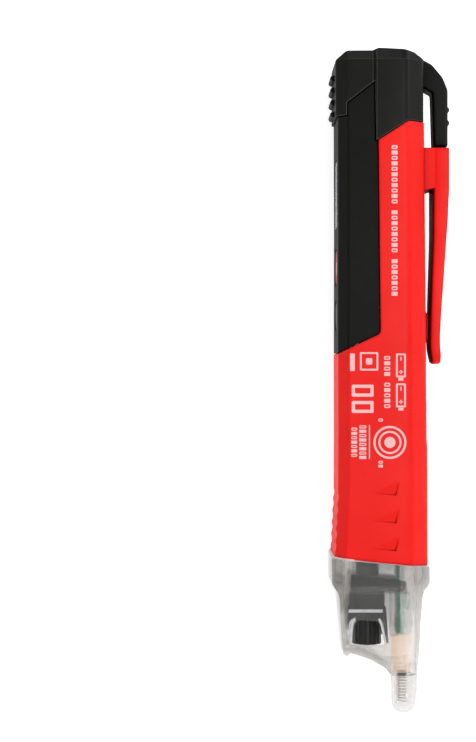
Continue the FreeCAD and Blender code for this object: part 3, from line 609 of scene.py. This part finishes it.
PRINT_DEEP = 0.03           # mm below the shell's surface
PRINT_HIGH = 0.03           # and above it
PRINT_LINE = 0.42
BOLD_LINE = 0.75
BLOCK_SHARE = 0.72          # of the pitch is block, the rest is gap
BLOCK_LINE = 0.24           # of the pitch
BLOCK_ROWS = [              # (u from, u to, t of the first, pitch, blocks, blocks with a gap before them)
    (1.9, 3.3, 135.0, 1.27, 26, (11, 19)),
    (0.15, 1.6, 85.7, 1.25, 9, (4,)),
    (-5.7, -4.0, 69.5, 1.02, 8, ()),
    (-7.55, -6.15, 69.0, 1.02, 7, ()),
    (-1.2, -0.1, 71.1, 1.0, 1, ()),
    (-1.2, -0.1, 61.2, 0.9, 2, ()),
]
CELL_SIGNS = [(2.92, 5.25, 80.7, 86.3), (2.92, 5.25, 73.7, 79.3)]       # (u from, u to, t from, t to)
CELL_BARS = [               # (half width, the end it is measured from, from, to)
    (0.6, 0, -0.75, -0.05),         # nub
    (0.14, 1, -1.7, -0.8),          # minus bar
    (0.5, 0, 1.15, 1.4),            # plus: its wide bar, and the two halves of the other
    (0.14, 0, 1.45, 1.75),
    (0.14, 0, 0.8, 1.1),
]
BAR_SIGN = (-7.8, -6.7, 82.2, 86.3)
SQUARE_SIGN = (-5.5, -1.2, 82.3, 86.6)
SQUARE_DOT = (-4.1, -2.6, 83.7, 85.2)
BOX_SIGNS = [(-7.4, -2.3, 72.4, 75.2), (-7.4, -2.3, 76.2, 79.0)]
RULE = (-3.4, -3.15, 61.6, 69.6)
RING_U = 1.51
RING_T = 65.5
RINGS = [(3.86, 0.5), (2.7, 0.45)]      # (radius, line)
RING_DOT = 1.3


def print_shape(bm, loop):
    slab(bm, loop, beside(1), SIDE_W - PRINT_DEEP, SIDE_W + PRINT_HIGH)


def print_ring(bm, outer, inner):
    hoop(bm, outer, inner, beside(1), SIDE_W - PRINT_DEEP, SIDE_W + PRINT_HIGH)


def print_frame(bm, a0, a1, b0, b1, line):
    """A rectangular outline of that stroke width."""
    inner = rectangle(a0 + line, a1 - line, b0 + line, b1 - line, 0.1)
    print_ring(bm, rectangle(a0, a1, b0, b1, 0.3), inner)


def block_row(bm, u0, u1, t_start, pitch, count, gaps):
    """A row of plain blocks, every other one hollow, in place of a line of lettering."""
    t = t_start
    for index in range(count):
        if index in gaps:
            t -= pitch
        low_t = t - BLOCK_SHARE * pitch
        if index % 2:
            print_shape(bm, rectangle(u0, u1, low_t, t))
        else:
            print_frame(bm, u0, u1, low_t, t, BLOCK_LINE * pitch)
        t -= pitch


def battery_mark(bm, u0, u1, t0, t1):
    """A plain cell: outline, nub, and a plus and a minus bar inside it."""
    middle = (u0 + u1) / 2.0
    print_frame(bm, u0, u1, t0, t1, PRINT_LINE)
    for half, end, low, high in CELL_BARS:
        start = (t0, t1)[end]
        print_shape(bm, rectangle(middle - half, middle + half, start + low, start + high, 0.06))


def side_print():
    bm = bmesh.new()
    for row in BLOCK_ROWS:
        block_row(bm, *row)
    for sign in CELL_SIGNS:
        battery_mark(bm, *sign)
    print_shape(bm, rectangle(*BAR_SIGN))
    print_frame(bm, *SQUARE_SIGN, PRINT_LINE)
    print_shape(bm, rectangle(*SQUARE_DOT, 0.3))
    for sign in BOX_SIGNS:
        print_frame(bm, *sign, BOLD_LINE)
    print_shape(bm, rectangle(*RULE, 0.1))
    for radius, line in RINGS:
        print_ring(bm, circle(RING_U, RING_T, radius), circle(RING_U, RING_T, radius - line))
    print_shape(bm, circle(RING_U, RING_T, RING_DOT))
    make_piece("side_print", bm, "print_pale", "body")


# ---- button marks and display bars ------------------------------------------------------------

MARK_DEEP = 0.03            # mm below the button's face
MARK_HIGH = 0.04            # and above it
MARK_LINE = 0.42
RAY_LINE = 0.3
DISH_BALL = 3.2             # radius of the ball that dishes a button, as a multiple of the button's radius
DISH_DEPTH = 0.3
POWER_RADIUS = 4.4
POWER_RING = 1.7
POWER_ARC = (125.0, 290.0)  # degrees: where the open ring starts, and how far it runs
POWER_STEPS = 32
TORCH_RADIUS = 3.6
BAR_COUNT = 5
BAR_PITCH = 1.3
BAR_WIDTH = 0.8
BAR_HALF = 0.9              # half length of the shortest bar, and how much each next one adds
BAR_GROWTH = 0.35
BAR_MARGIN = 1.0            # from the display's foot to the first bar
BAR_DEEP = 0.02
BAR_RAISED = 0.05
ALARM_DOT_T = 7.1           # from the first bar
ALARM_DOT = 0.45
POWER_BAR = [(0.0, 0.4 + 0.25 * index) for index in range(8)]
LAMP_HEAD = [(-0.9, 0.1), (-0.45, 1.6), (0.45, 1.6), (0.9, 0.1)]
LAMP_RAYS = (240, 270, 300)             # degrees
RAY_REACHES = (0.5, 0.9, 1.3, 1.7)


def dished(button, radius):
    """Places a mark on a button's dished face: a is sideways, b along the pen, height outwards."""
    (face_u, low_t), (_, high_t) = pen_box(button)
    middle_t = (low_t + high_t) / 2.0
    ball = DISH_BALL * radius

    def place(a, b, height):
        sink = DISH_DEPTH - (ball - math.sqrt(ball * ball - a * a - b * b))
        return pen(face_u + sink - height, middle_t + b, a)

    return place


def power_mark():
    """The usual on and off sign: an open ring and a bar."""
    bm = bmesh.new()
    place = dished("power_button", POWER_RADIUS)
    start, sweep = POWER_ARC
    ring = []
    for index in range(POWER_STEPS + 1):
        angle = math.radians(start + sweep * index / POWER_STEPS)
        ring.append((POWER_RING * math.cos(angle), POWER_RING * math.sin(angle)))
    for line in (ring, POWER_BAR):
        slab(bm, stroke(line, MARK_LINE), place, -MARK_DEEP, MARK_HIGH)
    make_piece("power_mark", bm, "mark_white", "power_key")


def torch_mark():
    """A lamp head with three rays."""
    bm = bmesh.new()
    place = dished("torch_button", TORCH_RADIUS)
    slab(bm, LAMP_HEAD, place, -MARK_DEEP, MARK_HIGH)
    for degrees in LAMP_RAYS:
        away = (math.cos(math.radians(degrees)), math.sin(math.radians(degrees)))
        ray = [(away[0] * reach, away[1] * reach) for reach in RAY_REACHES]
        slab(bm, stroke(ray, RAY_LINE), place, -MARK_DEEP, MARK_HIGH)
    make_piece("torch_mark", bm, "mark_white", "torch_key")


def display_bars():
    """Five level bars and an alarm dot on the display's face."""
    bm = bmesh.new()
    face_u, foot_t = pen_box("display_module")[0]
    start = foot_t + BAR_MARGIN

    def place(a, b, height):
        return pen(face_u - height, b, a)

    for index in range(BAR_COUNT):
        half = BAR_HALF + BAR_GROWTH * index
        low = start + BAR_PITCH * index
        slab(bm, rectangle(-half, half, low, low + BAR_WIDTH), place, -BAR_DEEP, BAR_RAISED)
    slab(bm, circle(0.0, start + ALARM_DOT_T, ALARM_DOT, 24), place, -BAR_DEEP, BAR_RAISED)
    make_piece("display_bars", bm, "bar_green", "body")


# ---- coils and wires --------------------------------------------------------------------------

COIL_TURNS = 9.0
COIL_RADIUS = 1.0
COIL_CRINKLE = 0.14
COIL_WIRE = 0.11
COIL_START = 0.15           # bare lengths of its tube, before the first turn and after the last
COIL_END = 0.6
FERRULE_PROFILE = [         # (distance from the coil's end, radius)
    (-0.55, 0.5),
    (-0.55, 1.15),
    (-0.3, 1.22),
    (-0.1, 1.22),
    (0.05, 1.1),
    (0.2, 1.22),
    (0.5, 1.22),
    (0.5, 0.6),
]
SPRING_WIRE = 0.34
SPRING_TOP = 2.4            # radius at the cell, then where the taper ends, and of the last turn
SPRING_FOOT = 3.5
SPRING_LAST = 3.7
SPRING_TURNS = 4.0
SPRING_INSET = 0.36         # from each end of its CAD stand-in to the middle of the wire
TOP_PITCH = 0.05            # rise of the closed turn at each end
FOOT_PITCH = 0.02
LEG_WIRE = 0.22
LEG_SPACING = 1.27          # half the distance between the lamp's legs
LEG_PATH = [(0.5, -0.6), (0.1, -0.1), (-0.2, 0.5), (-0.2, 3.2)]        # (u, t) from the board's foot
SOLDER_T = 3.0
SOLDER_PROFILE = [(0.0, 0.85), (0.15, 0.8), (0.35, 0.5), (0.5, 0.2)]


def middle_u(node):
    low, high = pen_box(node)
    return (low[0] + high[0]) / 2.0


def sensing_coil():
    """The crinkled coil of gold wire that senses the voltage."""
    low_t, high_t = [corner[1] for corner in pen_box("sensor_coil")]
    u = middle_u("sensor_coil")
    t0 = low_t + COIL_START
    t1 = high_t - COIL_END
    points = helix(u, t0, t1, COIL_TURNS, COIL_RADIUS, COIL_RADIUS, COIL_CRINKLE)
    bm = bmesh.new()
    tube(bm, points, COIL_WIRE)
    coil = smooth(make_piece("sensing_coil", bm, "gold_wire", "body"))
    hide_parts("sensor_coil")


def coil_ferrule():
    """The dark crimped ferrule that holds the coil's end."""
    end_t = pen_box("sensor_coil")[1][1]
    bm = bmesh.new()
    lathe(bm, pen(middle_u("sensor_coil"), end_t), Vector((0, 1, 0)), FERRULE_PROFILE, 28)
    smooth(make_piece("coil_ferrule", bm, "ferrule_dark", "body"))


def battery_spring():
    """The tapering spring under the cap, one wire from its small end to its foot."""
    low_t, high_t = [corner[1] for corner in pen_box("cap_spring")]
    u = middle_u("cap_spring")
    t0 = low_t + SPRING_INSET
    t1 = high_t - SPRING_INSET
    points = helix(u, t0, t0 + TOP_PITCH, 1.0, SPRING_TOP, SPRING_TOP)
    points += helix(u, t0 + TOP_PITCH, t1, SPRING_TURNS, SPRING_TOP, SPRING_FOOT)[1:]
    points += helix(u, t1, t1 + FOOT_PITCH, 1.0, SPRING_FOOT, SPRING_LAST)[1:]
    bm = bmesh.new()
    tube(bm, points, SPRING_WIRE)
    spring = smooth(make_piece("battery_spring", bm, "nickel", "cap"))
    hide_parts("cap_spring")


def lamp_legs():
    """The alarm lamp's two legs, bent onto the sensing board, with a solder joint each."""
    front_u, foot_t = pen_box("sensor_board")[0]
    bm = bmesh.new()
    for w in (-LEG_SPACING, LEG_SPACING):
        tube(bm, [pen(front_u + u, foot_t + t, w) for u, t in LEG_PATH], LEG_WIRE)
        lathe(bm, pen(front_u, foot_t + SOLDER_T, w), Vector((-1, 0, 0)), SOLDER_PROFILE, 14)
    smooth(make_piece("lamp_legs", bm, "tinned_wire", "body"))


# ---- parts on the back of the sensing board ---------------------------------------------------

CHIPS = [                   # (t from the board's foot, w, length, width, height)
    (5.8, -1.9, 4.0, 3.8, 0.75),
    (1.6, -2.6, 2.0, 1.2, 0.5),
    (1.6, 0.2, 1.6, 0.8, 0.45),
    (3.9, 1.6, 1.0, 0.5, 0.35),
]
CHIP_LEGS = 4               # on each side of the largest chip
CHIP_LEG_T = 6.3
CHIP_LEG_PITCH = 0.95
CHIP_LEG_WIDTH = 0.4
CHIP_LEG_INNER = 1.85
CHIP_LEG_OUTER = 2.9
CHIP_LEG_HIGH = 0.28


def on_board_back(t, w, height):
    """A point on the sensing board's back, from the board's foot."""
    back_u = pen_box("sensor_board")[1][0]
    foot_t = pen_box("sensor_board")[0][1]
    return pen(back_u + height, foot_t + t, w)


def board_chips():
    bm = bmesh.new()
    for t, w, length, width, height in CHIPS:
        slab(bm, rectangle(t, t + length, w, w + width, 0.1), on_board_back, 0.0, height)
    make_piece("board_chips", bm, "chip_black", "body")


def chip_legs():
    bm = bmesh.new()
    for index in range(CHIP_LEGS):
        t = CHIP_LEG_T + CHIP_LEG_PITCH * index
        for w0, w1 in ((-CHIP_LEG_OUTER, -CHIP_LEG_INNER), (CHIP_LEG_INNER, CHIP_LEG_OUTER)):
            slab(bm, rectangle(t, t + CHIP_LEG_WIDTH, w0, w1, 0.05), on_board_back, 0.0, CHIP_LEG_HIGH)
    make_piece("chip_legs", bm, "tinned_wire", "body")


# ---- nose: painted highlights on the window's edges, smoky plates, seal, joint of the tip ------

FLANK_T = 15.0              # the flank's half width at this t, and how fast it grows with t
FLANK_HALF = 8.88
FLANK_GROWTH = 0.1187
EDGE_HIGH = 0.04
WINDOW_TOP = (26.4, 25.4)               # t of the sloping top edge, outside and inside
WINDOW_DEPTH = 0.8
WINDOW_SLOPE = [(-8.0, 0.1), (-0.1, 0.1), (0.0, 0.95), (-8.1, 0.95)]        # (u, share of the depth)
ARCH_LINE = 0.5
ARCH_LEGS = [               # (u, t) down each leg of the arch
    [(-6.7, 24.1), (-7.2, 23.0), (-7.42, 21.0), (-7.5, 17.8)],
    [(-0.9, 24.1), (-0.35, 22.8), (0.1, 20.8), (0.75, 17.8)],
]
SMOKE_PLATES = [(1.75, 3.8, 19.6, 30.6), (-7.2, 3.8, 33.4, 37.2)]        # (u from, u to, t from, t to)
SMOKE_INNER = 6.5
SMOKE_OUTER = 7.1
SEAL_T = 37.2               # middle of the seam between shell and nose, at u = 0
SEAL_SLOPE = 0.098
SEAL_HIGH = 0.26
SEAL_OUTER = 1.004          # its two outlines, as shares of the shell's section
SEAL_INNER = 0.96
SEAL_SECTION = [            # (u, w) of one side of the shell's section at the seam, and each corner's radius
    (-11.33, 8.95, 0.8),
    (-9.03, 11.25, 0.8),
    (6.38, 11.25, 2.6),
    (10.98, 6.65, 2.6),
]
JOINT_T = 9.5               # where the tip is welded to the nose
JOINT_U = 5.95
JOINT_DEPTH = 3.35          # half sizes there, from front to back and from side to side
JOINT_HALF = 3.45
JOINT_RADIUS = 2.5
JOINT_HIGH = 0.14
JOINT_OUTER = 1.006         # its two outlines, as shares of the tip's section
JOINT_INNER = 0.86


def window_edge_highlights():
    """Painted highlights on the edges of the clear window, where they catch the light: its sloping top, and
    the arch's two legs.
    """
    bm = bmesh.new()
    for side in (-1, 1):
        def on_flank(u, t, height, side=side):
            return pen(u, t, side * (FLANK_HALF + FLANK_GROWTH * (t - FLANK_T) + height))

        def on_slope(u, part, height, on_flank=on_flank):
            outer_t, inner_t = WINDOW_TOP
            return on_flank(u, outer_t + part * (inner_t - outer_t), height - part * WINDOW_DEPTH)

        slab(bm, WINDOW_SLOPE, on_slope, -EDGE_HIGH, EDGE_HIGH)
        for leg in ARCH_LEGS:
            slab(bm, stroke(leg, ARCH_LINE), on_flank, -EDGE_HIGH, EDGE_HIGH)
    make_piece("window_edge_highlights", bm, "edge_pale", "body")


def nose_smoke_plates():
    """Smoky plates inside the nose's flanks that grey the nose there: beside the sensing board, and across
    under the collar.
    """
    bm = bmesh.new()
    for side in (-1, 1):
        for plate in SMOKE_PLATES:
            slab(bm, rectangle(*plate, 0.3), beside(side), SMOKE_INNER, SMOKE_OUTER)
    make_piece("nose_smoke_plates", bm, "plate_smoke", "body")


def seal_line():
    """The pale edge of the seal that shows all round between the shell and the nose."""
    section = [(u, -w, radius) for u, w, radius in reversed(SEAL_SECTION)] + SEAL_SECTION
    outer = rounded([(u * SEAL_OUTER, w * SEAL_OUTER, radius) for u, w, radius in section])
    inner = rounded([(u * SEAL_INNER, w * SEAL_INNER, radius * 0.9) for u, w, radius in section])

    def place(u, w, height):
        return pen(u, SEAL_T - SEAL_SLOPE * u + height, w)

    bm = bmesh.new()
    hoop(bm, outer, inner, place, -SEAL_HIGH, SEAL_HIGH)
    make_piece("seal_line", bm, "seal", "body")


def tip_joint():
    """The smoky line of the weld between the tip and the nose."""
    def section(scale):
        depth = JOINT_DEPTH * scale
        half = JOINT_HALF * scale
        corners = [(-depth, -half), (depth, -half), (depth, half), (-depth, half)]
        return rounded([(a, b, JOINT_RADIUS * scale) for a, b in corners])

    def place(a, b, height):
        return pen(JOINT_U + a, JOINT_T + height, b)

    bm = bmesh.new()
    hoop(bm, section(JOINT_OUTER), section(JOINT_INNER), place, -JOINT_HIGH, JOINT_HIGH)
    make_piece("tip_joint", bm, "joint_smoke", "body")


# ---- dark sheet behind the cover's seam, as painted shade -------------------------------------

SEAM_SHADE = (-4.0, 0.6, 86.5, 94.0)         # (u from, u to, t from, t to)
SEAM_SHADE_INNER = 8.9
SEAM_SHADE_OUTER = 9.2


def seam_shade_sheet():
    """A dark sheet as painted shade under the corner of the cover's seam, so that no light shows through it.
    """
    bm = bmesh.new()
    for side in (-1, 1):
        slab(bm, rectangle(*SEAM_SHADE, 0.5), beside(side), SEAM_SHADE_INNER, SEAM_SHADE_OUTER)
    make_piece("seam_shade_sheet", bm, "chip_black", "body")


# ---- clip: one skin from the fixed block to the end of the springy arm -------------------------

CLIP_OUTER = [(135.0, 16.1), (125.4, 16.1), (119.5, 15.95), (95.0, 14.35), (88.8, 14.1), (85.4, 14.5),
              (83.8, 14.3)]             # (t, u) of its back
CLIP_INNER = [(135.0, 12.5), (114.0, 12.4), (98.0, 11.85), (87.6, 11.6), (83.8, 12.4)]
CLIP_TOP_T = 135.1
CLIP_ROOT_T = 125.4
CLIP_END_T = 83.84
CLIP_ROOT_HALF = 5.5
CLIP_END_HALF = 3.9
CLIP_END_RADIUS = 2.2
CLIP_SPREAD = 0.06          # mm by which the skin covers the block
CLIP_SPREAD_T = 124.0       # it covers it above this height
CLIP_EDGE = 0.55
CLIP_THIN = 0.5             # mm by which the end thins, and the length over which it does
EASE_REACH = 1.6
CLIP_STATIONS = [CLIP_TOP_T, 134.6, 131.0, 127.5, 125.6, 124.2]         # t of each ring of the skin
CLIP_STATIONS += [123.0 - 2.0 * index for index in range(17)]
CLIP_STATIONS += [89.6 - 0.7 * index for index in range(7)]
CLIP_STATIONS += [CLIP_END_T + reach for reach in (1.2, 0.8, 0.45, 0.2, 0.05, 0.0)]


def along(line, t):
    """The value at t on a line of falling (t, value) points."""
    for (t1, v1), (t0, v0) in zip(line, line[1:]):
        if t >= t0:
            return v0 + (v1 - v0) * min(1.0, (t - t0) / (t1 - t0))
    return line[-1][1]


def eased(line, t):
    """The line's value, averaged over a short stretch so that it has no kinks."""
    return sum(along(line, t + EASE_REACH * step / 3.0) for step in range(-3, 4)) / 7.0


def clip_ring(t):
    part = max(0.0, min(1.0, (t - CLIP_END_T) / (CLIP_ROOT_T - CLIP_END_T)))
    spread = CLIP_SPREAD if t > CLIP_SPREAD_T else 0.0
    half = CLIP_END_HALF + (CLIP_ROOT_HALF - CLIP_END_HALF) * part + spread
    rounding = max(0.0, CLIP_END_RADIUS - (t - CLIP_END_T))
    half -= CLIP_END_RADIUS - math.sqrt(CLIP_END_RADIUS ** 2 - rounding ** 2)
    thin = CLIP_THIN * max(0.0, 1.0 - (t - CLIP_END_T) / CLIP_THIN) ** 2
    inner = eased(CLIP_INNER, t) + thin
    outer = eased(CLIP_OUTER, t) - thin + spread
    return [pen(u, t, w) for u, w in rectangle(inner, outer, -half, half, CLIP_EDGE)]


def clip_skin():
    bm = bmesh.new()
    skin_rings(bm, [clip_ring(t) for t in CLIP_STATIONS])
    skin = smooth(make_piece("clip_skin", bm, "red_shell", None))
    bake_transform(skin)
    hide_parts("clip_arm")


# ---- stage ------------------------------------------------------------------------------------

CAMERA_HEIGHT = 406.0       # mm above the pen's mid-plane
CAMERA_U = -34.0            # the picture is centred this far in front of the body's axis
CAMERA_T = 82.2
VIEW_HEIGHT = 178.4         # mm of the mid-plane that the picture's height spans
SENSOR = 36.0
FLOOR_HALF = 1.5            # m
FLOOR_GLOW = 0.66
ROOM_LIGHT = 0.14
LIGHT_AIM = (0.0, 0.0, 0.01)
LIGHTS = [                  # (name, place in m, size in m, power in W)
    ("key", (0.24, 0.05, 0.42), (0.16, 0.60), 1.75),
    ("fill", (-0.46, 0.0, 0.30), (0.20, 0.60), 0.60),
    ("end", (0.0, 0.50, 0.28), (0.40, 0.20), 1.0),
    ("front", (0.0, -0.52, 0.30), (0.40, 0.20), 1.0),
]


def make_camera():
    data = bpy.data.cameras.new("camera")
    data.sensor_width = SENSOR
    data.lens = SENSOR * CAMERA_HEIGHT / VIEW_HEIGHT
    data.clip_start = 0.01
    data.clip_end = 10.0
    camera = bpy.data.objects.new("camera", data)
    camera.location = pen(CAMERA_U, CAMERA_T, CAMERA_HEIGHT)
    bpy.context.collection.objects.link(camera)
    bpy.context.scene.camera = camera


def make_floor():
    mesh = bpy.data.meshes.new("floor")
    half = FLOOR_HALF
    corners = [(-half, -half, 0), (half, -half, 0), (half, half, 0), (-half, half, 0)]
    mesh.from_pydata(corners, [], [(0, 1, 2, 3)])
    floor = bpy.data.objects.new("floor", mesh)
    bpy.context.collection.objects.link(floor)
    paint = Paint("floor_paint")
    colour = paint.ramp(paint.noise(8.0), [(0.3, (0.93, 0.93, 0.93)), (0.7, (0.95, 0.95, 0.95))])
    paint.connect(colour, "Base Color")
    paint.set(Roughness=0.9, Specular_IOR_Level=0.1)
    paint.set(Emission_Color=(*WHITE, 1.0), Emission_Strength=FLOOR_GLOW)
    mesh.materials.append(paint.material)


def make_light():
    """A dim, dark-topped studio: the light comes from both sides and from the lit floor."""
    world = bpy.data.worlds.new("studio")
    world.use_nodes = True
    room = world.node_tree.nodes["Background"]
    room.inputs["Color"].default_value = (*WHITE, 1.0)
    room.inputs["Strength"].default_value = ROOM_LIGHT
    bpy.context.scene.world = world
    for name, place, size, power in LIGHTS:
        data = bpy.data.lights.new(name, "AREA")
        data.shape = "RECTANGLE"
        data.size, data.size_y = size
        data.energy = power
        light = bpy.data.objects.new(name, data)
        light.location = place
        light.rotation_euler = (Vector(LIGHT_AIM) - Vector(place)).to_track_quat("-Z", "Y").to_euler()
        bpy.context.collection.objects.link(light)
    bpy.context.scene.view_settings.view_transform = "Standard"


# ---- build ------------------------------------------------------------------------------------

materials = make_materials()
paint_cad()
seam_shade_sheet()
side_print()
power_mark()
torch_mark()
display_bars()
sensing_coil()
coil_ferrule()
battery_spring()
lamp_legs()
board_chips()
chip_legs()
window_edge_highlights()
nose_smoke_plates()
seal_line()
tip_joint()
clip_skin()
make_camera()
make_floor()
make_light()
